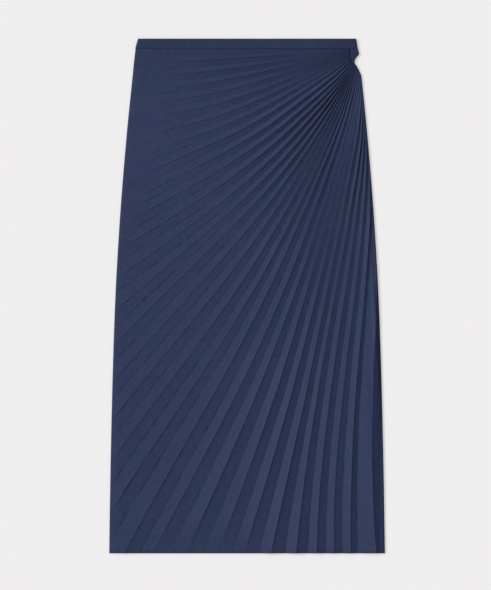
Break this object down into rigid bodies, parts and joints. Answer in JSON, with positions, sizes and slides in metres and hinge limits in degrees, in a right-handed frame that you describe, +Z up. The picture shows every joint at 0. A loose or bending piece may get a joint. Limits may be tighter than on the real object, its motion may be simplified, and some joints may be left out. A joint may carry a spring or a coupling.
{
  "type": "pleated midi skirt",
  "caption": "Midi skirt laid flat, front up, with a narrow straight waistband and sunray pleats that fan from a gather at one hip across front and back.",
  "frame": {"origin": "middle of the outline, on the surface that the skirt lies on", "axes": "+Z up from the surface through the front panel, +Y from the hem to the waist, +X towards the wearer's left hip"},
  "size_m": [0.4288, 0.8, 0.0075],
  "materials": {
    "pleated_cloth": "smooth woven polyester with a soft satin sheen, heat-set pleats",
    "band_cloth": "the same woven polyester, flat and a little duller"
  },
  "bodies": {
    "root": {"waistband_front": "band_cloth", "waistband_back": "band_cloth", "skirt_front": "pleated_cloth", "skirt_back": "pleated_cloth", "hip_stay_front": "band_cloth", "hip_stay_back": "band_cloth"}
  },
  "joints": []
}
